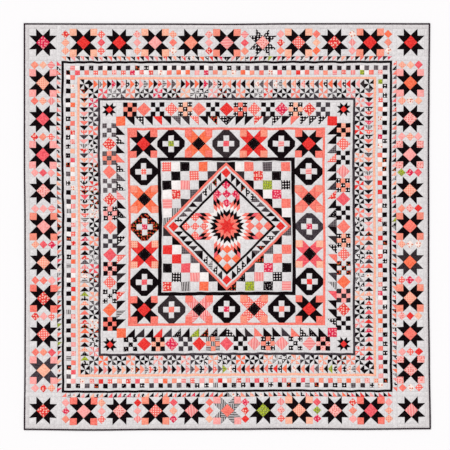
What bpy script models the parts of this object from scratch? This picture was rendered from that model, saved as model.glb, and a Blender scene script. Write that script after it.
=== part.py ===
"""A square patchwork quilt lying flat, face up.

The quilt is one filled body of cloth and batting, stitched down along the seams of its
frames, and four strips of binding that fold over its edge and meet in mitres.
Metres, +Z up. X runs across the quilt and Y from its foot to its head. The origin lies on
the surface under the middle of the quilt.
"""
import math

import bmesh
import bpy

MM = 0.001

# Outline: the straight size of the quilt, and how far each edge swells out of it
WIDTH = 2.100
LENGTH = 2.106
EDGE_SWELL_MM = {
    # seven even stations: left and right run foot to head, foot and head run left to right
    "left": (1.8, -1.2, -2.0, -1.0, 2.0, 2.0, 2.0),
    "right": (7.0, 2.0, -2.0, -1.5, -2.0, 0.0, 3.0),
    "foot": (0.5, 4.0, 0.5, 0.0, -2.6, -0.5, -3.6),
    "head": (0.8, 0.0, -0.3, -1.5, 1.0, 1.3, 0.8),
}
WOBBLE = 2.5 * MM         # how far the frames' seams stray from straight inside the edge
WOBBLE_TURNS = (2.3, 1.7)
WOBBLE_LEAN = (0.4, 0.3)

# Patchwork: the face is set out in square units, and its frames are bands of them
UNITS = 88
BANDS = (
    # name, width in units
    ("star border", 8),
    ("checkerboard between strips", 4),
    ("flying geese", 4),
    ("nine patches", 4),
    ("sawtooth", 3),
    ("star blocks", 6),
)
WIDE_BAND = 4             # a wider band than this has two grid lines on its crown
CENTRE_STEPS = 4          # grid steps from the middle to the centre square's edge

# Thickness, measured up from the surface
SEAM_HEIGHT = 4.4 * MM    # where stitching holds the layers together
LOFT = 2.3 * MM           # how far the batting rises above the seams
LOFT_REACH = 0.9          # units from a seam at which it has risen most of the way
UNEVENNESS = 0.5 * MM
UNEVEN_TURNS = (3.1, 2.6)

# Binding: a doubled strip folded over the raw edge
BINDING_FACE = 8.0 * MM
BINDING_CLOTH = 1.0 * MM
BINDING_HEIGHT = 5.4 * MM
BINDING_FOLD = 1.2 * MM   # how far in the fold starts to round over
BINDING_EDGES = ("foot", "right", "head", "left")
GAP = 0.35 * MM           # between neighbouring pieces
MITRE_TRIM = 0.26 * MM    # taken off each end of a strip, along its length

COLLECTION = "Patchwork quilt"
GROUND_COLOUR = (0.70, 0.68, 0.68, 1.0)
BINDING_COLOUR = (0.012, 0.009, 0.010, 1.0)
COTTON_ROUGHNESS = 0.9


def clear_scene():
    for obj in list(bpy.data.objects):
        bpy.data.objects.remove(obj)


def cotton(name, colour):
    material = bpy.data.materials.new(name)
    material.use_nodes = True
    shader = material.node_tree.nodes["Principled BSDF"]
    shader.inputs["Base Color"].default_value = colour
    shader.inputs["Roughness"].default_value = COTTON_ROUGHNESS
    shader.inputs["Metallic"].default_value = 0.0
    return material


def swell(edge, share):
    """How far an edge stands out of its straight line, at a share of its length."""
    stations = EDGE_SWELL_MM[edge]
    place = min(max(share, 0.0), 1.0) * (len(stations) - 1)
    before = min(int(place), len(stations) - 2)
    part = place - before
    ease = part * part * (3.0 - 2.0 * part)
    return (stations[before] * (1.0 - ease) + stations[before + 1] * ease) * MM


def lie(x, y):
    """Where a point of the straight quilt comes to lie."""
    across = x / WIDTH + 0.5
    along = y / LENGTH + 0.5
    out_x = swell("right", along) * across - swell("left", along) * (1.0 - across)
    out_y = swell("head", across) * along - swell("foot", across) * (1.0 - along)
    inside = 16.0 * across * (1.0 - across) * along * (1.0 - along)
    phase_x = WOBBLE_TURNS[0] * along + WOBBLE_LEAN[0] * across
    phase_y = WOBBLE_TURNS[1] * across + WOBBLE_LEAN[1] * along
    stray_x = WOBBLE * inside * math.sin(math.tau * phase_x)
    stray_y = WOBBLE * inside * math.cos(math.tau * phase_y)
    return x + out_x + stray_x, y + out_y + stray_y


def seam_places():
    """Distance of each band's outer seam from the middle, in units, and the centre's edge."""
    places = [UNITS / 2]
    for _, width in BANDS:
        places.append(places[-1] - width)
    return places


def grid_places():
    """Where the grid lines run, in units from the middle, in rising order.

    Each band has its seams and one or two lines on its crown; the centre has even steps.
    """
    seams = seam_places()
    half = [seams[0]]
    for outer, inner in zip(seams, seams[1:]):
        if outer - inner > WIDE_BAND:
            third = (outer - inner) / 3.0
            half += [outer - third, inner + third]
        else:
            half.append((outer + inner) / 2.0)
        half.append(inner)
    half += [seams[-1] * step / CENTRE_STEPS for step in range(CENTRE_STEPS - 1, 0, -1)]
    return [-place for place in half] + [0.0] + half[::-1]


def face_height(x_units, y_units):
    """Height of the quilt's face: low at seams, risen between them."""
    seams = seam_places()
    out = max(abs(x_units), abs(y_units))
    if out >= seams[-1]:
        from_seam = min(abs(out - seam) for seam in seams)
    else:
        diamond = abs(abs(x_units) + abs(y_units) - seams[-1])
        from_seam = min(seams[-1] - out, diamond)
    rise = LOFT * (1.0 - math.exp(-from_seam / LOFT_REACH))
    wave_x = math.sin(math.tau * UNEVEN_TURNS[0] * x_units / UNITS)
    wave_y = math.cos(math.tau * UNEVEN_TURNS[1] * y_units / UNITS)
    return SEAM_HEIGHT + rise + UNEVENNESS * wave_x * wave_y * rise / LOFT


def make_object(name, bm, material, collection):
    bmesh.ops.recalc_face_normals(bm, faces=bm.faces)
    mesh = bpy.data.meshes.new(name)
    bm.to_mesh(mesh)
    bm.free()
    mesh.materials.append(material)
    obj = bpy.data.objects.new(name, mesh)
    collection.objects.link(obj)


def make_body(collection):
    """The filled body: a grid with the frames' relief, drawn in to a tongue at its edge.

    The tongue fits inside the binding, and the underside is flat.
    """
    places = grid_places()
    steps = len(places) - 1
    reach = places[-1]
    face_edge = BINDING_FACE + GAP
    half_x, half_y = WIDTH / 2 - face_edge, LENGTH / 2 - face_edge
    bm = bmesh.new()
    bmesh.ops.create_grid(bm, x_segments=steps, y_segments=steps, size=1.0)
    for vert in bm.verts:
        x_units = places[round((vert.co.x + 1.0) / 2.0 * steps)]
        y_units = places[round((vert.co.y + 1.0) / 2.0 * steps)]
        vert.co.x = x_units / reach * half_x
        vert.co.y = y_units / reach * half_y
        vert.co.z = face_height(x_units, y_units)

    tongue_end = tongue_low = BINDING_CLOTH + GAP
    tongue_high = BINDING_HEIGHT - BINDING_CLOTH - GAP
    rim_path = (
        # depth in from the quilt's edge, height
        (tongue_end, tongue_high),
        (tongue_end, tongue_low),
        (face_edge, tongue_low),
        (face_edge + tongue_low, 0.0),
    )
    rim = [edge for edge in bm.edges if edge.is_boundary]
    for depth, height in rim_path:
        grown = bmesh.ops.extrude_edge_only(bm, edges=rim)["geom"]
        rim = [item for item in grown if isinstance(item, bmesh.types.BMEdge)]
        rim = [edge for edge in rim if edge.is_boundary]
        ring = {vert for edge in rim for vert in edge.verts}
        scale_x = (WIDTH / 2 - depth) / max(vert.co.x for vert in ring)
        scale_y = (LENGTH / 2 - depth) / max(vert.co.y for vert in ring)
        for vert in ring:
            vert.co.x *= scale_x
            vert.co.y *= scale_y
            vert.co.z = height
    bmesh.ops.edgeloop_fill(bm, edges=rim)
    for vert in bm.verts:
        vert.co.x, vert.co.y = lie(vert.co.x, vert.co.y)
    make_object("quilt_body", bm, cotton("Patchwork cotton", GROUND_COLOUR), collection)


def binding_profile():
    """The folded strip's section: depth in from the quilt's edge, and height."""
    fold_top = BINDING_HEIGHT - BINDING_FOLD
    inner_top = BINDING_HEIGHT - BINDING_CLOTH
    return (
        (BINDING_FACE, 0.0),
        (BINDING_FOLD, 0.0),
        (0.0, BINDING_FOLD),
        (0.0, fold_top),
        (BINDING_FOLD, BINDING_HEIGHT),
        (BINDING_FACE, BINDING_HEIGHT),
        (BINDING_FACE, inner_top),
        (BINDING_CLOTH, inner_top),
        (BINDING_CLOTH, BINDING_CLOTH),
        (BINDING_FACE, BINDING_CLOTH),
    )


def make_binding(edge, material, collection):
    """One strip, lofted along its edge of the quilt.

    Its section shortens with depth, so its ends are mitred, and it follows the wavy edge.
    """
    quarter_turns = BINDING_EDGES.index(edge)
    half_along, half_across = WIDTH / 2, LENGTH / 2
    if quarter_turns % 2:
        half_along, half_across = half_across, half_along
    places = grid_places()
    bm = bmesh.new()
    rings = []
    for place in places:
        ring = []
        for depth, height in binding_profile():
            along = place / places[-1] * (half_along - depth - MITRE_TRIM)
            across = half_across - depth
            turned = ((along, -across), (across, along), (-along, across), (-across, -along))
            x, y = lie(*turned[quarter_turns])
            ring.append(bm.verts.new((x, y, height)))
        rings.append(ring)
    for ring, following in zip(rings, rings[1:]):
        for corner in range(len(ring)):
            before = corner - 1
            bm.faces.new((ring[before], ring[corner], following[corner], following[before]))
    bm.faces.new(rings[0])
    bm.faces.new(rings[-1])
    make_object("binding_" + edge, bm, material, collection)


def main():
    clear_scene()
    collection = bpy.data.collections.new(COLLECTION)
    bpy.context.scene.collection.children.link(collection)
    make_body(collection)
    binding_cotton = cotton("Binding cotton", BINDING_COLOUR)
    for edge in BINDING_EDGES:
        make_binding(edge, binding_cotton, collection)


main()
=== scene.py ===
import itertools
import math
import random

import bpy
import numpy as np
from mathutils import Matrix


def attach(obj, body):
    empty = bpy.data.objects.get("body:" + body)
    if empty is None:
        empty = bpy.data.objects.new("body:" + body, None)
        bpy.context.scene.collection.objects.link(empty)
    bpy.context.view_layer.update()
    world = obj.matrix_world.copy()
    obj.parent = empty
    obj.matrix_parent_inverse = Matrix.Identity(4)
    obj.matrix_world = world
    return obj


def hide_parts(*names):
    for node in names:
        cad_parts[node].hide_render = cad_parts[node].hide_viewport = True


# A square patchwork quilt lying flat, face up, seen from straight above.
# The patchwork is a generic frame quilt: star blocks, checkerboard, flying geese and pinwheels,
# nine patches, sawtooth and churn dashes, round a square on its point with a large star.
# Metres, +Z up. The face's own plan is drawn in square patch units from its middle.

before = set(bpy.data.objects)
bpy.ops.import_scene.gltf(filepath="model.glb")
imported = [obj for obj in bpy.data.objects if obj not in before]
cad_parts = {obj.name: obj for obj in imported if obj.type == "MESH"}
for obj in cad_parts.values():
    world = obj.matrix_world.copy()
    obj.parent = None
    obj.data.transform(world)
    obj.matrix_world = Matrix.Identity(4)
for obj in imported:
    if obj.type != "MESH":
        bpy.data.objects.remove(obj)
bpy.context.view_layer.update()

MM = 0.001
EDGES = ("foot", "right", "head", "left")

# Outline, the same as the solids have
WIDTH = 2.100
LENGTH = 2.106
EDGE_SWELL_MM = {
    # seven even stations: left and right run foot to head, foot and head run left to right
    "left": (1.8, -1.2, -2.0, -1.0, 2.0, 2.0, 2.0),
    "right": (7.0, 2.0, -2.0, -1.5, -2.0, 0.0, 3.0),
    "foot": (0.5, 4.0, 0.5, 0.0, -2.6, -0.5, -3.6),
    "head": (0.8, 0.0, -0.3, -1.5, 1.0, 1.3, 0.8),
}
WOBBLE = 2.5 * MM
WOBBLE_TURNS = (2.3, 1.7)
WOBBLE_LEAN = (0.4, 0.3)

# Binding
BINDING_FACE = 8.0 * MM
BINDING_CLOTH = 1.0 * MM
BINDING_HEIGHT = 5.4 * MM

# Plan of the face, in units
UNITS = 88
TUCK = 3.0 * MM           # how far the patchwork runs on under the binding's face
UNIT_X = (WIDTH / 2 - BINDING_FACE + TUCK) / (UNITS / 2)
UNIT_Y = (LENGTH / 2 - BINDING_FACE + TUCK) / (UNITS / 2)
UNIT = (UNIT_X + UNIT_Y) / 2
FRAME_WIDTHS = (8, 4, 4, 4, 3, 6, 1)      # in the order of draw_plan
FRAME_SEAMS = [UNITS / 2 - sum(FRAME_WIDTHS[:count]) for count in range(len(FRAME_WIDTHS) + 1)]

# Mesh of a patch: points along its seams, and rings inside them
SEAM_STEP = 8.0 * MM
RINGS_MM = (0.9, 2.6, 5.5, 10.0, 17.0, 26.0)
QUILTED_RINGS_MM = (0.9, 2.8, 4.8, 6.0, 7.6, 12.0, 19.0, 28.0)
RING_LIMIT = 0.86         # share of the patch's depth that a ring may reach

# Relief of the face
SEAM_HEIGHT = 4.4 * MM
FRAME_RISE = 0.7 * MM
FRAME_REACH = 14.0 * MM
PATCH_LOFT = 1.7 * MM
PATCH_REACH = 3.6 * MM
QUILT_LINE = 6.0 * MM     # a quilting line's distance inside its seams
QUILT_DENT = 0.9 * MM
QUILT_DENT_WIDTH = 1.5 * MM
EDGE_HEIGHT = 4.0 * MM    # under the binding's flap
EDGE_REACH = 9.0 * MM
STRAY_REACH = 30.0 * MM   # the edge's hold on the seams that stray

draws = random.Random(8861)               # one run of draws, in the order of making


def ripples(seed, shortest, longest, height, count=12):
    """A smooth uneven field: sine waves of seeded directions, lengths and phases, summed."""
    own = random.Random(seed)
    waves = []
    for _ in range(count):
        turn = math.tau / (shortest * (longest / shortest) ** own.random())
        angle = own.uniform(0.0, math.tau)
        waves.append((turn * math.cos(angle), turn * math.sin(angle), own.uniform(0.0, math.tau)))

    def at(x, y):
        total = sum(np.sin(wave_x * x + wave_y * y + phase) for wave_x, wave_y, phase in waves)
        return height * math.sqrt(2.0 / count) * total

    return at


SEAM_STRAY_X = ripples(11, 60 * MM, 160 * MM, 0.7 * MM)
SEAM_STRAY_Y = ripples(12, 60 * MM, 160 * MM, 0.7 * MM)
SWELLS = ripples(13, 160 * MM, 520 * MM, 0.35 * MM)
PUCKERS = ripples(14, 13 * MM, 34 * MM, 0.30 * MM, count=20)
BACKING_PUCKERS = ripples(15, 40 * MM, 110 * MM, 0.08 * MM, count=16)


def ease(part):
    return part * part * (3.0 - 2.0 * part)


def swell(edge, share):
    """How far an edge stands out of its straight line, at a share of its length."""
    stations = np.array(EDGE_SWELL_MM[edge]) * MM
    place = np.clip(share, 0.0, 1.0) * (len(stations) - 1)
    before = np.minimum(place.astype(int), len(stations) - 2)
    part = ease(place - before)
    return stations[before] * (1.0 - part) + stations[before + 1] * part


def lie(x, y):
    """Where points of the straight quilt come to lie."""
    across = x / WIDTH + 0.5
    along = y / LENGTH + 0.5
    out_x = swell("right", along) * across - swell("left", along) * (1.0 - across)
    out_y = swell("head", across) * along - swell("foot", across) * (1.0 - along)
    inside = 16.0 * across * (1.0 - across) * along * (1.0 - along)
    phase_x = WOBBLE_TURNS[0] * along + WOBBLE_LEAN[0] * across
    phase_y = WOBBLE_TURNS[1] * across + WOBBLE_LEAN[1] * along
    stray_x = WOBBLE * inside * np.sin(math.tau * phase_x)
    stray_y = WOBBLE * inside * np.cos(math.tau * phase_y)
    return x + out_x + stray_x, y + out_y + stray_y


def from_frame_seams(x_units, y_units):
    """Distance in metres from the nearest seam between frames."""
    out = np.maximum(np.abs(x_units), np.abs(y_units))
    nearest = np.min([np.abs(out - place) for place in FRAME_SEAMS], axis=0)
    diamond = np.abs(np.abs(x_units) + np.abs(y_units) - FRAME_SEAMS[-1]) / math.sqrt(2.0)
    return np.where(out < FRAME_SEAMS[-1], np.minimum(nearest, diamond), nearest) * UNIT


def face_points(x_units, y_units, from_seam, quilted):
    """Places in space of points on the quilt's face, from their places in its plan."""
    x, y = x_units * UNIT_X, y_units * UNIT_Y
    rise = FRAME_RISE * (1.0 - np.exp(-from_frame_seams(x_units, y_units) / FRAME_REACH))
    rise = rise + PATCH_LOFT * (1.0 - np.exp(-from_seam / PATCH_REACH))
    rise = rise - quilted * QUILT_DENT * np.exp(-(((from_seam - QUILT_LINE) / QUILT_DENT_WIDTH) ** 2))
    rise = rise + SWELLS(x, y) + PUCKERS(x, y)
    from_edge = np.minimum(UNITS / 2 - np.abs(x_units), UNITS / 2 - np.abs(y_units)) * UNIT
    share = ease(np.clip((from_edge - TUCK) / EDGE_REACH, 0.0, 1.0))
    z = EDGE_HEIGHT + (SEAM_HEIGHT - EDGE_HEIGHT + rise) * share
    lain_x, lain_y = lie(x, y)
    free = np.clip(from_edge / STRAY_REACH, 0.0, 1.0)
    stray_x, stray_y = free * SEAM_STRAY_X(x, y), free * SEAM_STRAY_Y(x, y)
    return np.stack([lain_x + stray_x, lain_y + stray_y, z], axis=-1)


# Fabrics: print, ground, ink, size of the print, and a second ink, or else the ground again
# Colours are 8 bit screen values

NIGHT = (12, 4, 8)
FABRICS = {
    "black": ("plain", (5, 2, 3), (25, 15, 19)),
    "black_dots": ("dots", NIGHT, (238, 230, 230), 2.4),
    "black_pin_dots": ("dots", NIGHT, (112, 98, 102), 0.7),
    "black_stripes": ("stripes", NIGHT, (230, 222, 222), 1.7),
    "charcoal": ("plain", (50, 42, 48), (78, 70, 76)),
    "black_checks": ("checks", NIGHT, (138, 126, 130), 1.5),
    "black_rosebuds": ("blossoms", NIGHT, (220, 52, 54), 1.0, (146, 160, 40)),
    "black_sprigs": ("sprigs", NIGHT, (218, 208, 208), 1.5),
    "coral": ("plain", (242, 110, 98), (254, 138, 123)),
    "coral_dots": ("dots", (244, 108, 98), (255, 226, 218), 2.0),
    "salmon": ("plain", (246, 138, 115), (255, 163, 140)),
    "salmon_sprigs": ("sprigs", (248, 148, 128), (224, 74, 68), 1.5),
    "red": ("plain", (220, 40, 40), (242, 68, 62)),
    "red_blossoms": ("blossoms", (226, 54, 54), (255, 214, 204), 0.9, (248, 158, 84)),
    "poppies": ("blossoms", (250, 232, 224), (224, 62, 60), 1.0, (172, 184, 66)),
    "rose": ("plain", (232, 78, 92), (249, 110, 116)),
    "rose_stripes": ("stripes", (238, 98, 104), (255, 210, 202), 1.6),
    "orange": ("plain", (245, 100, 66), (255, 130, 96)),
    "orange_checks": ("checks", (248, 118, 88), (255, 212, 192), 1.5),
    "peach": ("plain", (251, 172, 144), (255, 196, 170)),
    "peach_dots": ("dots", (253, 186, 160), (236, 92, 84), 1.6),
    "pink": ("plain", (250, 156, 152), (255, 180, 176)),
    "pink_blossoms": ("blossoms", (253, 186, 180), (226, 70, 82), 0.8, (238, 146, 70)),
    "magenta_blossoms": ("blossoms", (218, 34, 78), (255, 176, 184), 0.9, (250, 120, 96)),
    "lime_blossoms": ("blossoms", (168, 182, 44), (28, 16, 20), 0.8, (250, 238, 206)),
    "grey": ("plain", (217, 212, 213), (231, 227, 227)),
    "grey_sprigs": ("sprigs", (222, 217, 218), (192, 186, 188), 1.2),
    "blush": ("plain", (240, 232, 230), (248, 242, 240)),
    "margin_grey": ("plain", (209, 203, 204), (223, 218, 218)),
    "backing": ("backing", (226, 221, 218), (232, 228, 225)),
    "bias_stripes": ("bias stripes", (5, 0, 3), (98, 76, 90)),
}
GROUPS = {
    "dark": ("black",) * 6 + ("black_dots", "black_dots", "black_stripes", "charcoal")
    + ("black_checks", "black_rosebuds", "black_sprigs", "black_pin_dots"),
    "warm": ("coral", "coral", "coral_dots", "salmon", "salmon_sprigs", "red", "red_blossoms")
    + ("poppies", "rose", "rose_stripes", "orange", "orange_checks", "peach", "peach_dots")
    + ("pink", "pink", "pink_blossoms", "magenta_blossoms"),
    "strong": ("coral", "coral", "coral_dots", "red", "red_blossoms", "rose", "orange")
    + ("rose_stripes", "magenta_blossoms"),
    "soft": ("salmon", "salmon_sprigs", "peach", "peach_dots", "coral", "pink", "pink_blossoms"),
    "pale": ("grey",) * 6 + ("grey_sprigs", "blush", "blush"),
}
ACCENT_CHANCE = 0.03
PLAIN_STAR_CHANCE = 0.7
STEP_CLOTHS = ("dark", "pale", "strong", "pale", "dark", "pale", "strong")
STAR_RINGS = ("red", "coral", "black", "blush", "coral", "black", "rose")


def pick(group):
    """One fabric of a group, and now and then the lime print instead of a warm one."""
    if group in ("warm", "strong") and draws.random() < ACCENT_CHANCE:
        return "lime_blossoms"
    return draws.choice(GROUPS[group])


# Drawing the plan. A draw function takes a patch's corners, its fabric, whether it is quilted
# inside its seams, and the whole piece of cloth that the patch is a cell of.

TURN_STRAY = 0.06         # radians that a cloth lies off the square
HALF = 0.5                # units; the width of the strips between frames
STRIP_CELL = 2.0
FINE_LINE = 0.25
DIAMOND_TURN = 45.0       # degrees
DIAMOND_FIELD = 18.0      # units; the square inside the diamond's outer strips
DIAMOND_TOOTH = 1.5
DIAMOND_STEPS = 4         # small diamonds along a side of the large star's

pieces = {}


def drawing(piece_name):
    patches = pieces.setdefault(piece_name, [])
    lays = {}

    def draw(corners, fabric, quilted=False, whole=None):
        whole = whole or corners
        cloth = tuple((round(x, 3), round(y, 3)) for x, y in whole)
        if cloth not in lays:
            turn = draws.choice((0.0, 0.25, 0.5, 0.75)) * math.tau + draws.uniform(-TURN_STRAY, TURN_STRAY)
            lays[cloth] = (draws.uniform(0.0, 1.0), draws.uniform(0.0, 1.0), turn)
        patches.append((corners, fabric, whole, quilted, lays[cloth]))

    return draw


def moved(draw, x, y, quarter=0, degrees=0.0):
    """The same drawing, turned about its own origin and moved to x, y."""
    angle = math.radians(degrees) + quarter * math.pi / 2
    cos, sin = math.cos(angle), math.sin(angle)
    if degrees == 0.0:
        cos, sin = round(cos), round(sin)

    def place(points):
        return [(x + cos * px - sin * py, y + sin * px + cos * py) for px, py in points]

    def at(corners, fabric, quilted=False, whole=None):
        draw(place(corners), fabric, quilted, place(whole or corners))

    return at


def box(x, y, width, height):
    return [(x, y), (x + width, y), (x + width, y + height), (x, y + height)]


def strip(draw, x, y, length, width, fabric):
    """A long strip along x, of one cloth, in cells without seams between them."""
    whole = box(x, y, length, width)
    count = max(1, round(length / STRIP_CELL))
    for step in range(count):
        draw(box(x + step * length / count, y, length / count, width), fabric, whole=whole)


def quarters(draw):
    return [moved(draw, 0, 0, quarter) for quarter in range(4)]


def half_square(draw, x, y, size, fabric, rising=True, ground="grey"):
    """A square of two triangles: the fabric below the diagonal and the ground above it."""
    low_left, low_right, high_right, high_left = box(x, y, size, size)
    if rising:
        draw([low_left, low_right, high_right], fabric)
        draw([low_left, high_right, high_left], ground)
    else:
        draw([low_left, low_right, high_left], fabric)
        draw([low_right, high_right, high_left], ground)


def square_on_point(draw, size, fabric, ground="grey", quilted=False):
    """A square set in a square of the given size, on its point."""
    half = size / 2
    draw([(0, -half), (half, 0), (0, half), (-half, 0)], fabric, quilted)
    for side in quarters(draw):
        side([(0, -half), (half, -half), (half, 0)], ground)


def star_block(draw, cell, points, centre, corner="grey"):
    """A sawtooth star about the origin, four cells square, with a square on its point inside."""
    quilted = cell > 1
    square_on_point(draw, 2 * cell, centre, points, quilted)
    for side in quarters(draw):
        side([(-cell, -2 * cell), (cell, -2 * cell), (0, -cell)], "grey", quilted)
        side([(-cell, -2 * cell), (0, -cell), (-cell, -cell)], points)
        side([(cell, -2 * cell), (cell, -cell), (0, -cell)], points)
        side(box(-2 * cell, -2 * cell, cell, cell), corner, quilted)


def pinwheel(draw, size, blades):
    """Four half squares spinning about the origin; size is the whole block's."""
    for side in quarters(draw):
        half_square(side, 0, 0, size / 2, blades)


def nine_patch(draw, size, odd, even):
    cell = size / 3
    for row in range(3):
        for column in range(3):
            fabric = odd if (row + column) % 2 == 0 else even
            draw(box(column * cell - size / 2, row * cell - size / 2, cell, cell), fabric)


def churn_dash(draw, size, dark, centre):
    """Corner half squares and split bars round a centre square, five cells wide."""
    cell = size / 5
    draw(box(-cell / 2, -cell / 2, cell, cell), centre)
    for side in quarters(draw):
        side(box(-cell / 2, -2.5 * cell, cell, cell), dark)
        side(box(-cell / 2, -1.5 * cell, cell, cell), "grey")
        half_square(side, -2.5 * cell, -2.5 * cell, 2 * cell, "grey", False, dark)


def goose(draw, x, width, fabric):
    """A triangle that points along x, a unit long, with its two sky triangles."""
    draw([(x, 0), (x + 1, width / 2), (x, width)], fabric)
    draw([(x, 0), (x + 1, 0), (x + 1, width / 2)], "grey")
    draw([(x, width), (x + 1, width / 2), (x + 1, width)], "grey")


def frame_side(piece_name, outer, quarter):
    """The draw function of one side of a frame, with x along the side and y inwards."""
    x, y = ((-outer, -outer), (outer, -outer), (outer, outer), (-outer, outer))[quarter]
    return moved(drawing(piece_name), x, y, quarter)


def frame_sides(name, outer):
    return [frame_side(f"{name}_{edge}", outer, quarter) for quarter, edge in enumerate(EDGES)]


def frame_strip(side, outer, depth, width, fabric):
    """One side of a strip that runs round a frame, at a depth inside it."""
    strip(side, depth, depth, 2 * (outer - depth) - width, width, fabric)


def draw_star_border(outer, width):
    """Black stars and columns of three small warm squares on pale grey, and small sawtooth."""
    margin, column, star_count = 1, 1.8, 9
    star = width - 2 * margin
    spare = (star - 3 * column) / 2
    for side in frame_sides("star_border", outer):
        star_block(moved(side, width / 2, width / 2), star / 4, "black", pick("strong"))
        strip(side, 0, 0, width, margin, "margin_grey")
        strip(side, 0, width - margin, width, margin, "grey")
        strip(moved(side, margin, margin, 1), 0, 0, star, margin, "margin_grey")
        strip(moved(side, width, margin, 1), 0, 0, star, margin, "grey")
        run = int(2 * outer) - 2 * width
        strip(side, width, 0, run, margin, "margin_grey")
        for step in range(run):
            fabric = pick("dark" if min(step, run - 1 - step) % 2 else "warm")
            half_square(side, width + step, width - margin, margin, fabric, step < run / 2)
        for step in range(star_count + 1):
            x = width + step * (star + column)
            side(box(x, margin, column, spare), "grey")
            side(box(x, width - margin - spare, column, spare), "grey")
            for row in range(3):
                place = moved(side, x + column / 2, margin + spare + column * (row + 0.5))
                square_on_point(place, column, pick("warm"))
        for step in range(star_count):
            place = moved(side, width + column + star / 2 + step * (star + column), width / 2)
            points = "black" if draws.random() < PLAIN_STAR_CHANCE else pick("dark")
            star_block(place, star / 4, points, pick("warm"), "grey" if step % 2 else pick("soft"))


def draw_checker_frame(outer, width):
    """A black strip, two rows of checkerboard between grey strips, and a peach strip."""
    for quarter, side in enumerate(frame_sides("checker_frame", outer)):
        frame_strip(side, outer, 0, HALF, "black")
        frame_strip(side, outer, HALF, HALF, "grey")
        for column in range(int(2 * outer) - width):
            for row in range(2):
                if (column + row + quarter) % 2:
                    fabric = pick("pale")
                else:
                    fabric = pick("warm" if row else "dark")
                side(box(1 + column, 1 + row, 1, 1), fabric)
        frame_strip(side, outer, width - 1, HALF, "grey")
        frame_strip(side, outer, width - HALF, HALF, "peach")


def draw_geese_frame(outer, width):
    """Geese that fly to the middle of each side, and a row of pinwheels."""
    row = width // 2
    for side in frame_sides("geese_frame", outer):
        length = int(2 * outer)
        pinwheel(moved(side, row / 2, row / 2), row, "black")
        count = length - 2 * row
        for step in range(count):
            x = row + step
            fabric = pick("warm" if min(step, count - 1 - step) % 2 else "dark")
            if step < count / 2:
                goose(side, x, row, fabric)
            else:
                goose(moved(side, x + 1, row, 2), 0, row, fabric)
        for step in range(length // row - 3):
            place = moved(side, row * (step + 1.5), row * 1.5)
            pinwheel(place, row, pick("warm" if step % 3 == 1 else "dark"))


def draw_nine_patch_frame(outer, width):
    """A charcoal strip, and nine patches by turns with squares on their points."""
    block = width - 1
    run = 2 * (outer - width)
    count = int(run / block) - 1
    spacer = (run - block * count) / 2
    for side in frame_sides("nine_patch_frame", outer):
        frame_strip(side, outer, 0, HALF, "charcoal")
        frame_strip(side, outer, HALF, HALF, "grey")
        star_block(moved(side, 1 + block / 2, 1 + block / 2), block / 4, "black", "red")
        for x in (width, width + run - spacer):
            side(box(x, 1, spacer, block), "grey")
        for step in range(count):
            place = moved(side, width + spacer + block * step + block / 2, 1 + block / 2)
            if step % 2:
                square_on_point(place, block, pick("strong"), quilted=True)
            else:
                nine_patch(place, block, pick("dark"), pick("soft") if step % 4 else "grey")


def draw_sawtooth_frame(outer, width):
    """Sawtooth triangles that lean to the middle of each side, and a coral strip."""
    tooth = width - 1
    for side in frame_sides("sawtooth_frame", outer):
        side(box(0, 0, tooth, tooth), pick("strong"))
        count = int(outer) - 2
        for step in range(count):
            fabric = pick("strong" if min(step, count - 1 - step) % 4 == 3 else "dark")
            half_square(side, tooth * (step + 1), 0, tooth, fabric, step < count / 2)
        frame_strip(side, outer, width - 1, HALF, "grey")
        frame_strip(side, outer, width - HALF, HALF, "coral")


def draw_block_frame(outer, width):
    """Star blocks by turns with churn dash blocks."""
    for side in frame_sides("block_frame", outer):
        star_block(moved(side, width / 2, width / 2), width / 4, "black", "red", "coral")
        for step in range(int(2 * outer / width) - 2):
            place = moved(side, width * (step + 1.5), width / 2)
            if step % 2:
                star_block(place, width / 4, pick("strong"), "black", pick("soft"))
            else:
                churn_dash(place, width, pick("dark"), pick("strong"))


def draw_black_strip(outer, width):
    for quarter in range(4):
        side = frame_side("centre_corners", outer, quarter)
        frame_strip(side, outer, 0, width - FINE_LINE, "black")
        frame_strip(side, outer, width - FINE_LINE, FINE_LINE, "grey")


def draw_centre_corners(half):
    """Four right triangles of squares, in steps of colour from the diamond to the corner."""
    cell = 2
    count = int(half) // cell
    for corner in quarters(drawing("centre_corners")):
        for row in range(count):
            for column in range(count):
                step = row + column - (count - 1)
                x, y = column * cell, row * cell
                if step == 0:
                    corner([(x + cell, y), (x + cell, y + cell), (x, y + cell)], pick(STEP_CLOTHS[0]))
                elif step > 0:
                    corner(box(x, y, cell, cell), pick(STEP_CLOTHS[step]), True)


def draw_diamond(reach):
    """The square on its point: a coral strip, sawtooth, a black strip and a large star."""
    half = reach / math.sqrt(2.0)
    strip_width = half - DIAMOND_FIELD / 2
    tooth = DIAMOND_TOOTH
    teeth = round(DIAMOND_FIELD / tooth) - 1
    star = DIAMOND_FIELD - 2 * (tooth + HALF)
    for turned in quarters(drawing("centre_diamond")):
        side = moved(turned, 0, -reach, 0, DIAMOND_TURN)
        frame_strip(side, half, 0, HALF, "coral")
        frame_strip(side, half, HALF, strip_width - HALF, "grey")
        row = moved(side, strip_width, strip_width)
        row(box(0, 0, tooth, tooth), "red")
        for step in range(1, teeth):
            half_square(row, step * tooth, 0, tooth, pick("dark"), step <= teeth // 2)
        strip(row, tooth, tooth, star + HALF, HALF, "black")
    draw_large_star(moved(drawing("centre_diamond"), 0, 0, 0, DIAMOND_TURN), star)


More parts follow.
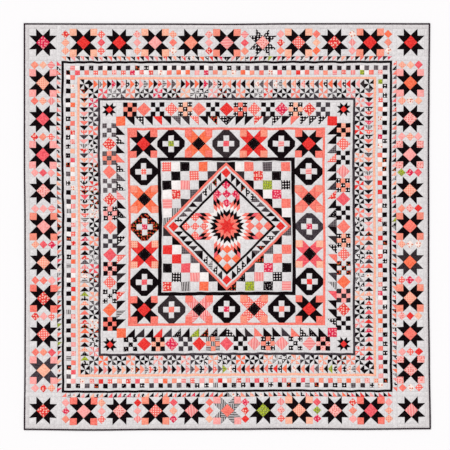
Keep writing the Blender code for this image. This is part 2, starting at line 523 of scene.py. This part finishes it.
def draw_large_star(draw, size):
    """Eight diamonds of small diamonds in rings of colour, with setting squares and triangles."""
    side = size / (2.0 + math.sqrt(2.0))
    small = side / DIAMOND_STEPS

    def arm(step, reach):
        return reach * math.cos(step * math.pi / 4), reach * math.sin(step * math.pi / 4)

    def corner(first, second, i, j):
        return first[0] * i + second[0] * j, first[1] * i + second[1] * j

    for point in range(8):
        first, second = arm(point, small), arm(point + 1, small)
        for i in range(DIAMOND_STEPS):
            for j in range(DIAMOND_STEPS):
                steps = ((i, j), (i + 1, j), (i + 1, j + 1), (i, j + 1))
                draw([corner(first, second, *step) for step in steps], STAR_RINGS[i + j])
    for part in quarters(draw):
        tip = side * (1.0 + math.sqrt(0.5))
        inner = side * math.sqrt(0.5)
        part([(side, 0), (tip, -inner), (tip, inner)], "grey", True)
        nine_patch(moved(part, (tip + inner) / 2, (tip + inner) / 2), side, pick("strong"), "grey")


def draw_plan():
    frame_draws = (
        draw_star_border,
        draw_checker_frame,
        draw_geese_frame,
        draw_nine_patch_frame,
        draw_sawtooth_frame,
        draw_block_frame,
        draw_black_strip,
    )
    for draw_frame, outer, width in zip(frame_draws, FRAME_SEAMS, FRAME_WIDTHS):
        draw_frame(outer, width)
    draw_centre_corners(FRAME_SEAMS[-1])
    draw_diamond(FRAME_SEAMS[-1])


# From the plan to meshes

NEAR = 1e-4               # units; closer points are the same one
LADDER_LEAN = 0.01
BAKE_OVERHANG = 1.6       # units; how far a patch may reach past its row
BAKE_MARGIN = 0.1
BAKE_GAP = 0.15


def sides_of(corners):
    return zip(corners, corners[1:] + corners[:1])


def heading(start, end):
    """Direction of a side, and its length."""
    dx, dy = end[0] - start[0], end[1] - start[1]
    length = math.hypot(dx, dy)
    return dx / length, dy / length, length


def between(start, end, share):
    return [start[k] + share * (end[k] - start[k]) for k in (0, 1)]


def shoelace(corners):
    """Twice the area of a ring of corners, below zero where it runs clockwise."""
    return sum(a[0] * b[1] - a[1] * b[0] for a, b in sides_of(corners))


def counter_clockwise(corners):
    return corners if shoelace(corners) > 0 else corners[::-1]


def corner_cells(patches):
    """The corners of the patches, by the unit square of the plan that each lies in."""
    cells = {}
    for corners, *_ in patches:
        for x, y in corners:
            cells.setdefault((math.floor(x), math.floor(y)), set()).add((round(x, 5), round(y, 5)))
    return cells


def side_shares(cells, start, end):
    """Shares of a side at which the mesh has points, without its end: corners on it, and even steps."""
    dx, dy, length = heading(start, end)
    spans = [
        range(math.floor(min(ends) - NEAR), math.floor(max(ends) + NEAR) + 1) for ends in zip(start, end)
    ]
    stops = {0.0, 1.0}
    for cell in itertools.product(*spans):
        for x, y in cells.get(cell, ()):
            along = (x - start[0]) * dx + (y - start[1]) * dy
            off = abs((x - start[0]) * dy - (y - start[1]) * dx)
            if off < NEAR and 2 * NEAR < along < length - 2 * NEAR:
                stops.add(round(along / length, 6))
    shares = []
    for before, after in itertools.pairwise(sorted(stops)):
        steps = max(1, round((after - before) * length * UNIT / SEAM_STEP))
        shares += [before + (after - before) * step / steps for step in range(steps)]
    return shares


def inward_offsets(corners):
    """How each corner moves for each unit of inset, and the inset at which a side is gone."""
    along = [heading(*side) for side in sides_of(corners)]
    offsets = []
    for (px, py, _), (nx, ny, _) in zip(along[-1:] + along[:-1], along):
        share = 1.0 + px * nx + py * ny
        offsets.append(((-py - ny) / share, (px + nx) / share))
    depth = min(
        length / max(1e-9, (here[0] - after[0]) * dx + (here[1] - after[1]) * dy)
        for (here, after), (dx, dy, length) in zip(sides_of(offsets), along)
    )
    return offsets, depth


def seam_distance(points, whole):
    """Distance in metres of points inside a cloth from the nearest of its seams."""
    nearest = np.full(len(points), 1e9)
    for start, end in sides_of(whole):
        dx, dy, _ = heading(start, end)
        nearest = np.minimum(nearest, (points[:, 1] - start[1]) * dx - (points[:, 0] - start[0]) * dy)
    return np.maximum(nearest, 0.0) * UNIT


def ladder(points, axis):
    """Triangles that fill a convex ring, rung by rung along an axis.

    The axis leans a little, so that the ladder starts and ends at corners.
    """
    count = len(points)
    along = points @ (axis + LADDER_LEAN * np.array([-axis[1], axis[0]]))
    first, last = int(np.argmin(along)), int(np.argmax(along))
    lower = [(first + step) % count for step in range((last - first) % count + 1)]
    upper = [(first - step) % count for step in range((first - last) % count + 1)]
    rung = [lower[1], upper[1]]
    triangles = [(first, *rung)]
    climb = [(along[point], rail, point) for rail, side in enumerate((lower, upper)) for point in side[2:-1]]
    for _, rail, point in sorted(climb):
        triangles.append((rung[0], point, rung[1]))
        rung[rail] = point
    return np.array(triangles + [(rung[0], last, rung[1])])


def patch_mesh(corners, whole, quilted, cells):
    """Plan points of one patch, their distances from a seam, its rings' quads and its rungs."""
    corners = counter_clockwise(corners)
    offsets, depth = inward_offsets(corners)
    starts, slides = [], []
    for (start, end), (slide, next_slide) in zip(sides_of(corners), sides_of(offsets)):
        for share in side_shares(cells, start, end):
            starts.append(between(start, end, share))
            slides.append(between(slide, next_slide, share))
    starts, slides = np.array(starts), np.array(slides)
    insets = [ring * MM / UNIT for ring in (QUILTED_RINGS_MM if quilted else RINGS_MM)]
    layers = [starts] + [starts + inset * slides for inset in insets if inset < RING_LIMIT * depth]
    count = len(starts)
    ring = np.arange(count)
    after = (ring + 1) % count
    band = np.stack([ring, after, after + count, ring + count], axis=1)
    bands = [band + count * layer for layer in range(len(layers) - 1)]
    quads = np.concatenate(bands) if bands else np.empty((0, 4), int)
    sides = np.roll(corners, -1, axis=0) - corners
    longest = int(np.argmax(np.round(np.hypot(sides[:, 0], sides[:, 1]), 4)))
    rungs = ladder(layers[-1], sides[longest]) + count * (len(layers) - 1)
    points = np.concatenate(layers)
    return points, seam_distance(points, counter_clockwise(whole)), quads, rungs


def linear(colour):
    """A screen colour of 0 to 255 as Blender's linear values."""
    def one(share):
        return share / 12.92 if share <= 0.04045 else ((share + 0.055) / 1.055) ** 2.4
    return [one(value / 255.0) for value in colour] + [1.0]


def bake_rows(corners_middle, points):
    """Map places that cut a long piece into rows of a square, for its baked pictures."""
    low, high = points.min(axis=0), points.max(axis=0)
    long_axis = int(high[1] - low[1] > high[0] - low[0])
    length, width = (high - low)[long_axis], (high - low)[1 - long_axis]
    rows = max(1, round(math.sqrt(length / width)))
    overhang = BAKE_OVERHANG if rows > 1 else BAKE_MARGIN
    along, across = points[:, long_axis] - low[long_axis], points[:, 1 - long_axis] - low[1 - long_axis]
    middle = corners_middle[:, long_axis] - low[long_axis]
    row = np.clip(np.floor(middle / length * rows), 0, rows - 1)
    u = along - row * length / rows + overhang
    v = across + row * (width + BAKE_GAP) + BAKE_GAP
    size = max(length / rows + 2 * overhang, rows * (width + BAKE_GAP) + BAKE_GAP)
    return np.stack([u, v], axis=1) / size


def add_object(name, data):
    obj = bpy.data.objects.new(name, data)
    bpy.context.scene.collection.objects.link(obj)
    return obj


def new_mesh_object(name, places, faces):
    """An object from vertex places and a list of face arrays, each with its own corner count."""
    mesh = bpy.data.meshes.new(name)
    mesh.vertices.add(len(places))
    mesh.vertices.foreach_set("co", np.asarray(places, dtype=np.float32).ravel())
    loops = np.concatenate([group.ravel() for group in faces])
    totals = np.concatenate([np.full(len(group), group.shape[1]) for group in faces])
    mesh.loops.add(len(loops))
    mesh.loops.foreach_set("vertex_index", loops.astype(np.int32))
    mesh.polygons.add(len(totals))
    mesh.polygons.foreach_set("loop_start", (np.cumsum(totals) - totals).astype(np.int32))
    mesh.update(calc_edges=True)
    mesh.polygons.foreach_set("use_smooth", np.full(len(totals), True))
    return add_object(name, mesh)


def set_attribute(obj, name, kind, domain, values):
    attribute = obj.data.attributes.new(name, kind, domain)
    field = {"FLOAT": "value", "FLOAT_VECTOR": "vector", "FLOAT_COLOR": "color"}[kind]
    attribute.data.foreach_set(field, np.asarray(values, dtype=np.float32).ravel())


def set_bake_map(obj, places):
    bake = obj.data.uv_layers.new(name="OFBake")
    bake.data.foreach_set("uv", places.ravel())


def fabric_row(kind, ground, ink, size=1.0, second=None):
    return kind, size, linear(ground), linear(ink), linear(second or ground)


def dress(obj, cloths, lays, lay_domain="FACE"):
    """Gives each face its fabric: the print's material, its colours and how it was cut."""
    used = {name: fabric_row(*FABRICS[name]) for name in set(cloths)}
    prints = sorted({row[0] for row in used.values()})
    for kind in prints:
        obj.data.materials.append(PRINTS[kind])
    slots = np.array([prints.index(used[name][0]) for name in cloths], dtype=np.int32)
    obj.data.polygons.foreach_set("material_index", slots)
    for place, name in ((2, "ground"), (3, "ink"), (4, "second_ink")):
        set_attribute(obj, name, "FLOAT_COLOR", "FACE", [used[cloth][place] for cloth in cloths])
    set_attribute(obj, "print_size", "FLOAT", "FACE", [used[cloth][1] for cloth in cloths])
    set_attribute(obj, "lay", "FLOAT_VECTOR", lay_domain, lays)


def make_patchwork(name, patches, cells):
    """One piece of the patchwork face as a mesh, welded along its seams."""
    plan, from_seam, stitched, quads_and_rungs = [], [], [], ([], [])
    start = 0
    for corners, fabric, whole, quilted, lay in patches:
        points, distance, *kinds = patch_mesh(corners, whole, quilted, cells)
        plan.append(points)
        from_seam.append(distance)
        stitched.append(np.full(len(points), float(quilted)))
        for group, faces in zip(quads_and_rungs, kinds):
            group.append((faces + start, fabric, lay, np.mean(corners, axis=0)))
        start += len(points)
    plan, from_seam, stitched = (np.concatenate(parts) for parts in (plan, from_seam, stitched))
    keys = np.round(plan / NEAR).astype(np.int64)
    _, first, same = np.unique(keys, axis=0, return_index=True, return_inverse=True)
    faces = [same.ravel()[np.concatenate([part[0] for part in group])] for group in quads_and_rungs]
    plan, from_seam = plan[first], from_seam[first]
    obj = new_mesh_object(name, face_points(plan[:, 0], plan[:, 1], from_seam, stitched[first]), faces)
    set_attribute(obj, "from_seam", "FLOAT", "POINT", from_seam)
    parts = quads_and_rungs[0] + quads_and_rungs[1]
    cloths = [fabric for part, fabric, _, _ in parts for _ in part]
    dress(obj, cloths, [lay for part, _, lay, _ in parts for _ in part])
    middles = np.concatenate([np.repeat(middle[None], part.size, axis=0) for part, _, _, middle in parts])
    loops = np.concatenate([group.ravel() for group in faces])
    set_bake_map(obj, bake_rows(middles, plan[loops]))
    return obj


# Materials

# Shares of the cloth's brightness
TONE_LEAST = 0.78
TONE_SLUBS = 0.16
TONE_MOTTLE = 0.24
TONE_LAY = 0.05
TONE_PAINTED_SHADE = 0.22          # painted shade, taken off beside the seams
SEAM_SHADE = 0.7 * MM
ROUGH_LEAST = 0.74
ROUGH_SPREAD = 0.2
SHINE = 0.03
THREAD_PITCH = 0.16 * MM
WEAVE_RELIEF = 0.05
BUMP_HEIGHT = 0.9 * MM
BUMP_STRENGTH = 0.8


class Material:
    """A material under construction: makes nodes and links them."""

    def __init__(self, name):
        self.material = bpy.data.materials.new(name)
        self.material.use_nodes = True
        self.tree = self.material.node_tree
        self.shader = self.tree.nodes["Principled BSDF"]

    def feed(self, socket, value):
        if isinstance(value, bpy.types.NodeSocket):
            self.tree.links.new(value, socket)
        else:
            socket.default_value = value

    def node(self, kind, inputs, **settings):
        node = self.tree.nodes.new("ShaderNode" + kind)
        for key, value in settings.items():
            setattr(node, key, value)
        for key, value in inputs.items():
            self.feed(node.inputs[key], value)
        return node

    def math(self, operation, *values):
        return self.node("Math", dict(enumerate(values)), operation=operation).outputs[0]

    def vector(self, operation, *values, output="Vector"):
        return self.node("VectorMath", dict(enumerate(values)), operation=operation).outputs[output]

    def attribute(self, name, output):
        return self.node("Attribute", {}, attribute_name=name).outputs[output]

    def place(self):
        return self.node("TexCoord", {}).outputs["Object"]

    def mix(self, share, first, second):
        return self.node("Mix", {0: share, 6: first, 7: second}, data_type="RGBA").outputs[2]

    def under(self, value, edge, soft):
        """1 where value is under the edge and 0 over it, with a soft step."""
        inputs = {0: value, 1: edge - soft, 2: edge + soft, 3: 1.0, 4: 0.0}
        return self.node("MapRange", inputs, interpolation_type="SMOOTHSTEP").outputs[0]

    def split(self, value):
        return self.node("SeparateXYZ", {0: value}).outputs

    def noise(self, place, scale, detail=2.0):
        inputs = {"Vector": place, "Scale": scale, "Detail": detail}
        return self.node("TexNoise", inputs, noise_dimensions="2D").outputs["Fac"]

    def repeats(self, pitch):
        """Place on the print, counted in repeats, turned and shifted as the patch was cut."""
        lay = self.attribute("lay", "Vector")
        inputs = {"Vector": self.place(), "Angle": self.split(lay)["Z"]}
        turned = self.node("VectorRotate", inputs, rotation_type="Z_AXIS").outputs[0]
        size = self.math("MULTIPLY", self.attribute("print_size", "Fac"), pitch)
        inputs = {0: turned, "Scale": self.math("DIVIDE", 1.0, size)}
        counted = self.node("VectorMath", inputs, operation="SCALE").outputs[0]
        return self.vector("MULTIPLY", self.vector("ADD", counted, lay), (1.0, 1.0, 0.0))

    def inks(self):
        return [self.attribute(name, "Color") for name in ("ground", "ink")]

    def surface(self, colour, rough, shine):
        for name, value in (("Base Color", colour), ("Roughness", rough), ("Specular IOR Level", shine)):
            self.feed(self.shader.inputs[name], value)
        return self.material

    def finish(self, colour, puckers=1.0):
        """Weave, slubs, creases and a painted shade beside the seams, on top of the print's colour."""
        place = self.repeats(1.0)
        slubs = self.noise(place, scale=700.0, detail=3.0)
        mottle = self.noise(place, scale=55.0)
        creases = self.noise(self.place(), scale=90.0, detail=3.0)
        # painted shade: the cloth's colour is darker within about a millimetre of each seam, standing in for
        # shade in the seam's valley
        near = self.under(self.attribute("from_seam", "Fac"), edge=SEAM_SHADE, soft=SEAM_SHADE)
        tone = self.split(self.attribute("lay", "Vector"))["X"]
        bright = TONE_LEAST
        for part, share in ((slubs, TONE_SLUBS), (mottle, TONE_MOTTLE), (tone, TONE_LAY), (near, -TONE_PAINTED_SHADE)):
            bright = self.math("MULTIPLY_ADD", part, share, bright)
        shaded = self.node("HueSaturation", {"Color": colour, "Value": bright}).outputs[0]
        rough = self.math("MULTIPLY_ADD", slubs, ROUGH_SPREAD, ROUGH_LEAST)
        threads = self.split(self.vector("SINE", self.repeats(THREAD_PITCH)))
        weave = self.math("MULTIPLY", threads["X"], threads["Y"])
        relief = self.math("MULTIPLY_ADD", weave, WEAVE_RELIEF, self.math("MULTIPLY", creases, puckers))
        inputs = {"Height": relief, "Distance": BUMP_HEIGHT, "Strength": BUMP_STRENGTH}
        self.feed(self.shader.inputs["Normal"], self.node("Bump", inputs).outputs[0])
        return self.surface(shaded, rough, SHINE)


def print_of(name, ink_share, puckers=1.0, **sizes):
    """The material of a print with one ink, whose share at each place a function gives."""
    cloth = Material(name)
    return cloth.finish(cloth.mix(ink_share(cloth, **sizes), *cloth.inks()), puckers)


def plain(cloth):
    return cloth.under(cloth.noise(cloth.repeats(1.0), scale=120.0), edge=0.5, soft=0.16)


def dots(cloth):
    cell = cloth.vector("FRACTION", cloth.repeats(pitch=6.0 * MM))
    away = cloth.vector("DISTANCE", cell, (0.5, 0.5, 0.0), output="Value")
    return cloth.under(away, edge=0.25, soft=0.03)


def stripes(cloth, pitch=5.0 * MM, half_line=0.2):
    across = cloth.split(cloth.repeats(pitch))["X"]
    return cloth.under(cloth.math("PINGPONG", across, 0.5), half_line, soft=0.03)


def checks(cloth):
    place = cloth.split(cloth.repeats(pitch=6.0 * MM))
    lines = [cloth.math("PINGPONG", place[axis], 0.5) for axis in ("X", "Y")]
    bands = [cloth.under(line, edge=0.25, soft=0.02) for line in lines]
    return cloth.math("MULTIPLY", cloth.math("ADD", *bands), 0.5)


def flower(cloth, repeats, petals, reach, dip, randomness):
    """Scattered flowers: a mask for the petals, and the distance from the flower's middle."""
    inputs = {"Vector": repeats, "Scale": 1.0, "Randomness": randomness}
    cells = cloth.node("TexVoronoi", inputs, voronoi_dimensions="2D").outputs
    sides = cloth.split(cloth.vector("SUBTRACT", repeats, cells["Position"]))
    spin = cloth.math("MULTIPLY", cloth.split(cells["Color"])["X"], math.tau)
    angle = cloth.math("ADD", cloth.math("ARCTAN2", sides["Y"], sides["X"]), spin)
    wave = cloth.math("COSINE", cloth.math("MULTIPLY", angle, petals))
    edge = cloth.math("MULTIPLY_ADD", wave, reach * dip, reach * (1.0 - dip))
    away = cells["Distance"]
    return cloth.under(cloth.math("SUBTRACT", away, edge), edge=0.0, soft=0.02), away


def sprigs(cloth):
    return flower(cloth, cloth.repeats(pitch=8.0 * MM), petals=3.0, reach=0.24, dip=0.6, randomness=0.7)[0]


def blossoms_print():
    cloth = Material("Flowered cotton")
    repeats = cloth.repeats(pitch=15.0 * MM)
    petals, away = flower(cloth, repeats, petals=5.0, reach=0.34, dip=0.22, randomness=0.55)
    shifted = cloth.vector("ADD", repeats, (0.37, 0.61, 0.0))
    leaves, _ = flower(cloth, shifted, petals=2.0, reach=0.17, dip=0.62, randomness=0.8)
    ground, ink = cloth.inks()
    second = cloth.attribute("second_ink", "Color")
    colour = cloth.mix(petals, cloth.mix(leaves, ground, second), ink)
    return cloth.finish(cloth.mix(cloth.under(away, edge=0.09, soft=0.02), colour, second))


BIAS = math.radians(45.0)         # the stripes' lean on the binding
BIAS_PITCH = 11.1 * MM * math.cos(BIAS)
WHOLE_LAY = (0.3, 0.7, 0.0)       # how a cloth of one piece is cut

PRINTS = {
    "plain": print_of("Plain cotton", plain),
    "dots": print_of("Dotted cotton", dots),
    "stripes": print_of("Striped cotton", stripes),
    "checks": print_of("Checked cotton", checks),
    "blossoms": blossoms_print(),
    "sprigs": print_of("Sprigged cotton", sprigs),
    "backing": print_of("Backing cotton", plain, puckers=1.4),
    "bias stripes": print_of("Bias striped cotton", stripes, pitch=BIAS_PITCH, half_line=0.12),
}


def dress_whole(obj, fabric, from_seam=20.0 * MM, lays=WHOLE_LAY):
    """One fabric all over a piece, laid the same way everywhere or by a lay for each point."""
    points = len(obj.data.vertices)
    dress(obj, [fabric] * len(obj.data.polygons), np.broadcast_to(lays, (points, 3)), "POINT")
    set_attribute(obj, "from_seam", "FLOAT", "POINT", np.full(points, from_seam))


# Backing, binding, stitches

BACKING_LOW = 0.75 * MM
BACKING_DENT = 1.1 * MM
BACKING_DENT_WIDTH = 8.0 * MM
BACKING_STEPS = 2 * UNITS         # half a unit each
BACKING_GAP = 0.1 * MM            # between it and the binding


def backing_points(x_units, y_units):
    """Places in space of points on the underside, nearly flat, and drawn in along the frames' seams."""
    x, y = x_units * UNIT_X, y_units * UNIT_Y
    dent = BACKING_DENT * np.exp(-from_frame_seams(x_units, y_units) / BACKING_DENT_WIDTH)
    from_edge = (UNITS / 2 - np.maximum(np.abs(x_units), np.abs(y_units))) * UNIT
    free = np.clip(from_edge / EDGE_REACH, 0.0, 1.0)
    on_binding = BINDING_CLOTH + BACKING_GAP
    z = on_binding + free * (BACKING_LOW + dent + BACKING_PUCKERS(x, y) - on_binding)
    return np.stack([*lie(x, y), z], axis=-1)


def make_backing():
    """The cloth on the underside: an even grid, each square split along the seam that crosses it."""
    line = np.linspace(-UNITS / 2, UNITS / 2, BACKING_STEPS + 1)
    x, y = (grid.ravel() for grid in np.meshgrid(line, line))
    side = BACKING_STEPS + 1
    corner = (np.arange(BACKING_STEPS)[:, None] * side + np.arange(BACKING_STEPS)[None]).ravel()
    quads = np.stack([corner, corner + side, corner + side + 1, corner + 1], axis=1)
    from_seam = from_frame_seams(x, y)
    at_middle = from_frame_seams(x[quads].mean(axis=1), y[quads].mean(axis=1))
    misses = [np.abs(from_seam[quads[:, pair]].mean(axis=1) - at_middle) for pair in ([0, 2], [1, 3])]
    turned = (misses[1] < misses[0])[:, None]
    quads = np.where(turned, np.roll(quads, -1, axis=1), quads)
    triangles = np.concatenate([quads[:, [0, 1, 2]], quads[:, [0, 2, 3]]])
    obj = new_mesh_object("quilt_backing", backing_points(x, y), [triangles])
    # the distances from the frames' seams also paint shade on the backing along those seams
    dress_whole(obj, "backing", from_seam)
    return obj


BINDING_STEP = 6.0 * MM
BINDING_PUCKERS = 0.8             # share of the face's
SLIP_STITCH = 7.0 * MM
SLIP_DENT = 0.4 * MM
MITRE_DENT = 0.6 * MM
MITRE_WIDTH = 1.2 * MM
MITRE_STATIONS = (0.0, 0.6 * MM, 1.5 * MM, 3.0 * MM)
FOLD_STEPS = 8
LIP = (
    # back from the flap's fold and down from its top, in half cloths, and share of the stitches' pull
    (2.0, 0.0, 0.4),
    (0.3, 0.4, 1.0),
    (0.0, 1.0, 1.0),
    (0.3, 2.0, 1.0),
)


def binding_profile():
    """The folded strip's section.

    Each point has its depth in from the edge, its height, its share of the stitches' pull, and
    how far the cloth has turned away from its depth by the fold.
    """
    middle = BINDING_HEIGHT / 2
    outer_fold, inner_fold = [], []
    for step in range(FOLD_STEPS + 1):
        angle = -math.pi / 2 - math.pi * step / FOLD_STEPS
        round_fold = middle * math.pi * (1.0 - step / FOLD_STEPS)
        for radius, fold in ((middle, outer_fold), (middle - BINDING_CLOTH, inner_fold)):
            depth = middle + radius * math.cos(angle)
            fold.append((depth, middle + radius * math.sin(angle), 0.0, depth - middle + round_fold))
    half = BINDING_CLOTH / 2
    top = [(BINDING_FACE - back * half, BINDING_HEIGHT - down * half, pull, 0.0) for back, down, pull in LIP]
    beneath = 2.0 * (BINDING_FACE - middle) + math.pi * middle
    bottom = [(BINDING_FACE, height, 0.0, beneath) for height in (BINDING_CLOTH, 0.0)]
    return outer_fold + top + inner_fold[::-1] + bottom


def binding_map(stations, profile, quads, caps):
    """Places on the bake's map, in rows: the strip opened out flat, with its two ends beside it."""
    depth, height = (np.array(column) for column in list(zip(*profile))[:2])
    columns = len(profile)
    steps = np.hypot(np.diff(depth, append=depth[0]), np.diff(height, append=height[0]))
    around = np.concatenate([[0.0], np.cumsum(steps)])
    column = quads % columns
    closing = (column.min(axis=1) == 0) & (column.max(axis=1) == columns - 1)
    column = np.where(closing[:, None] & (column == 0), columns, column)
    strip_places = np.stack([stations[quads // columns], around[column]], axis=-1)
    points, middles = [strip_places.reshape(-1, 2)], [np.repeat(strip_places.mean(axis=1), 4, axis=0)]
    for cap in caps:
        end, column = stations[cap[0] // columns], cap[0] % columns
        flat = np.stack([end + np.sign(end) * depth[column], height[column]], axis=-1)
        points.append(flat)
        middles.append(np.repeat(flat.mean(axis=0)[None], columns, axis=0))
    return bake_rows(np.concatenate(middles) / UNIT, np.concatenate(points) / UNIT)


def make_binding(edge):
    """One strip of binding along its edge, mitred, with slip stitches drawing in its fold."""
    quarter = EDGES.index(edge)
    half_along, half_across = (WIDTH / 2, LENGTH / 2) if quarter % 2 == 0 else (LENGTH / 2, WIDTH / 2)
    inside = half_along - MITRE_STATIONS[-1]
    count = round(2 * inside / BINDING_STEP)
    even = np.linspace(-inside, inside, count + 1)[1:-1]
    ends = np.array([half_along - station for station in MITRE_STATIONS])
    stations = np.concatenate([-ends, even, ends[::-1]])
    profile = binding_profile()
    depth, height, pull, turned = (np.array(column)[None] for column in zip(*profile))
    slip = SLIP_DENT * np.abs(np.sin(math.pi * stations / SLIP_STITCH))[:, None]
    depth = depth + pull * (slip - SLIP_DENT / 2)
    along = stations[:, None] / half_along * (half_along - depth)
    across = half_across - depth
    x, y = lie(*((along, -across), (across, along), (-along, across), (-across, -along))[quarter])
    to_mitre = (half_along - np.abs(stations))[:, None]
    upper = np.clip(height / BINDING_HEIGHT, 0.0, 1.0) ** 2
    z = height + upper * (PUCKERS(x, y) * BINDING_PUCKERS - MITRE_DENT * np.exp(-to_mitre / MITRE_WIDTH))
    index = np.arange(z.size).reshape(z.shape)
    after = np.roll(index, -1, axis=1)
    quads = np.stack([index[:-1], after[:-1], after[1:], index[1:]], axis=-1).reshape(-1, 4)[:, ::-1]
    caps = [index[0][None], index[-1][None, ::-1]]
    places = np.stack([x.ravel(), y.ravel(), z.ravel()], axis=1)
    obj = new_mesh_object("binding_cloth_" + edge, places, [quads, *caps])
    set_bake_map(obj, binding_map(stations, profile, quads, caps))
    lean = BIAS + quarter * math.pi / 2
    lays = np.tile((*WHOLE_LAY[:2], -lean), (z.size, 1))
    lays[:, 0] -= np.broadcast_to(turned * math.sin(BIAS) / BIAS_PITCH, z.shape).ravel()
    dress_whole(obj, "bias_stripes", lays=lays)
    return obj


STITCH_PITCH = 5.6 * MM
STITCH_LENGTH = 3.0 * MM
STITCH_WIDTH = 0.8 * MM
STITCH_RISE = 0.28 * MM
STITCH_SINK = 0.12 * MM
LEAST_DEPTH = 1.3                 # of a quilted cloth, in insets of its quilting line
THREAD_COLOURS = ((234, 228, 224), (252, 248, 245))
THREAD_ROUGH = (0.2, 0.6)         # spread, and least
THREAD_SHINE = 0.5


def quilting_lines():
    """Start and end, in plan units, of each quilting line inside the seams of quilted cloths."""
    done = set()
    for patches in pieces.values():
        for _, _, whole, quilted, _ in patches:
            key = tuple(sorted((round(x, 3), round(y, 3)) for x, y in whole))
            if not quilted or key in done:
                continue
            done.add(key)
            whole = counter_clockwise(whole)
            offsets, depth = inward_offsets(whole)
            inset = QUILT_LINE / UNIT
            if depth >= inset * LEAST_DEPTH:
                places = zip(whole, offsets)
                yield from sides_of([(x + inset * dx, y + inset * dy) for (x, y), (dx, dy) in places])


def beads(points_at, middles, directions, up):
    """Points and triangles of closed beads of thread, each a ridge along the stitch over its base.

    Up is 1 on the face and -1 on the underside.
    """
    half = STITCH_LENGTH / 2 / UNIT
    start, middle, end = (points_at(*(middles + shift * directions).T) for shift in (-half, 0.0, half))
    run = end - start
    side = np.stack([-run[:, 1], run[:, 0], np.zeros(len(run))], axis=1)
    side *= STITCH_WIDTH / 2 / np.linalg.norm(side, axis=1, keepdims=True)
    rise, sink = np.array([0.0, 0.0, up * STITCH_RISE]), np.array([0.0, 0.0, up * STITCH_SINK])
    points = np.stack([start + rise, end + rise, middle + side - sink, middle - side - sink], axis=1)
    faces = np.array([(0, 3, 1), (1, 2, 0), (0, 2, 3), (1, 3, 2)])[:, ::up]
    base = np.arange(len(middles))[:, None, None] * points.shape[1]
    return points.reshape(-1, 3), (faces[None] + base).reshape(-1, 3)


def quilting_points(x_units, y_units):
    ones = np.ones(len(x_units))
    return face_points(x_units, y_units, QUILT_LINE * ones, ones)


def make_stitches():
    """Running stitches along the quilting lines: beads of thread on the face, and between them beneath."""
    face, back = ([], []), ([], [])
    for start, end in quilting_lines():
        dx, dy, length = heading(start, end)
        count = max(1, round(length * UNIT / STITCH_PITCH))
        steps = np.arange(count)
        for (middles, directions), shares in ((face, (steps + 0.5) / count), (back, steps[1:] / count)):
            middles.append(np.stack(between(start, end, shares), axis=1))
            directions.append(np.repeat([[dx, dy]], len(shares), axis=0))
    points, triangles = beads(quilting_points, *map(np.concatenate, face), 1)
    under, under_triangles = beads(backing_points, *map(np.concatenate, back), -1)
    triangles = np.concatenate([triangles, under_triangles + len(points)])
    obj = new_mesh_object("quilting_stitches", np.concatenate([points, under]), [triangles])
    cloth = Material("Quilting thread")
    twist = cloth.noise(cloth.place(), scale=2500.0)
    light = cloth.mix(twist, *map(linear, THREAD_COLOURS))
    rough = cloth.math("MULTIPLY_ADD", twist, *THREAD_ROUGH)
    obj.data.materials.append(cloth.surface(light, rough, THREAD_SHINE))
    return obj


# Stage

PHOTO_SIDE = 450
MM_PER_PIXEL = 5.180
PHOTO_MIDDLE = (226.8, 226.6)
CAMERA_HEIGHT = 12.0
CAMERA_REACH = 100.0
SENSOR = 36.0
FLOOR_SIDE = 40.0
FLOOR_COLOUR = (0.965, 0.95, 0.957, 1.0)
ROOM_LIGHT = 0.65
SUN_LIGHT = 1.68
SUN_WIDTH = 24.0          # degrees, as the tilt
SUN_TILT = (-32.0, -34.0)


def make_stage():
    """The floor, an even soft light and the camera straight above."""
    half = FLOOR_SIDE / 2
    corners = [(-half, -half, 0), (half, -half, 0), (half, half, 0), (-half, half, 0)]
    floor = new_mesh_object("floor", corners, [np.array([[0, 1, 2, 3]])])
    floor.data.materials.append(Material("Floor").surface(FLOOR_COLOUR, rough=1.0, shine=0.0))

    scene = bpy.context.scene
    scene.view_settings.view_transform = "Standard"
    world = bpy.data.worlds.new("Studio")
    world.use_nodes = True
    background = world.node_tree.nodes["Background"]
    background.inputs["Color"].default_value = (1.0, 1.0, 1.0, 1.0)
    background.inputs["Strength"].default_value = ROOM_LIGHT
    scene.world = world
    sun = bpy.data.lights.new("Soft light", "SUN")
    sun.energy = SUN_LIGHT
    sun.angle = math.radians(SUN_WIDTH)
    lamp = add_object("Soft light", sun)
    lamp.rotation_euler = (math.radians(SUN_TILT[0]), math.radians(SUN_TILT[1]), 0.0)

    view = bpy.data.cameras.new("Camera")
    view.sensor_width = SENSOR
    view.lens = SENSOR * CAMERA_HEIGHT / (PHOTO_SIDE * MM_PER_PIXEL * MM)
    view.clip_end = CAMERA_REACH
    camera = add_object("Camera", view)
    off_x = (PHOTO_SIDE / 2 - PHOTO_MIDDLE[0]) * MM_PER_PIXEL * MM
    off_y = (PHOTO_MIDDLE[1] - PHOTO_SIDE / 2) * MM_PER_PIXEL * MM
    camera.location = (off_x, off_y, CAMERA_HEIGHT)
    scene.camera = camera


def plan_size(patches):
    """Length, width and area of the cloth that a piece of patchwork takes, in metres."""
    points = np.concatenate([np.array(corners) for corners, *_ in patches])
    size = points.max(axis=0) - points.min(axis=0)
    area = sum(abs(shoelace(corners)) / 2 * UNIT_X * UNIT_Y for corners, *_ in patches)
    return float(max(size)) * UNIT, float(min(size)) * UNIT, area


def carry(piece, node):
    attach(piece, "root")
    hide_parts(node)


def main():
    make_stage()
    draw_plan()
    cells = corner_cells(itertools.chain(*pieces.values()))
    backing = make_backing()
    carry(backing, "quilt_body")
    for name, patches in pieces.items():
        face = make_patchwork(name, patches, cells)
        carry(face, "quilt_body")
        length, width, area = plan_size(patches)
    for edge in EDGES:
        binding = make_binding(edge)
        carry(binding, "binding_" + edge)
        length = WIDTH if edge in ("foot", "head") else LENGTH
    carry(make_stitches(), "quilt_body")


main()
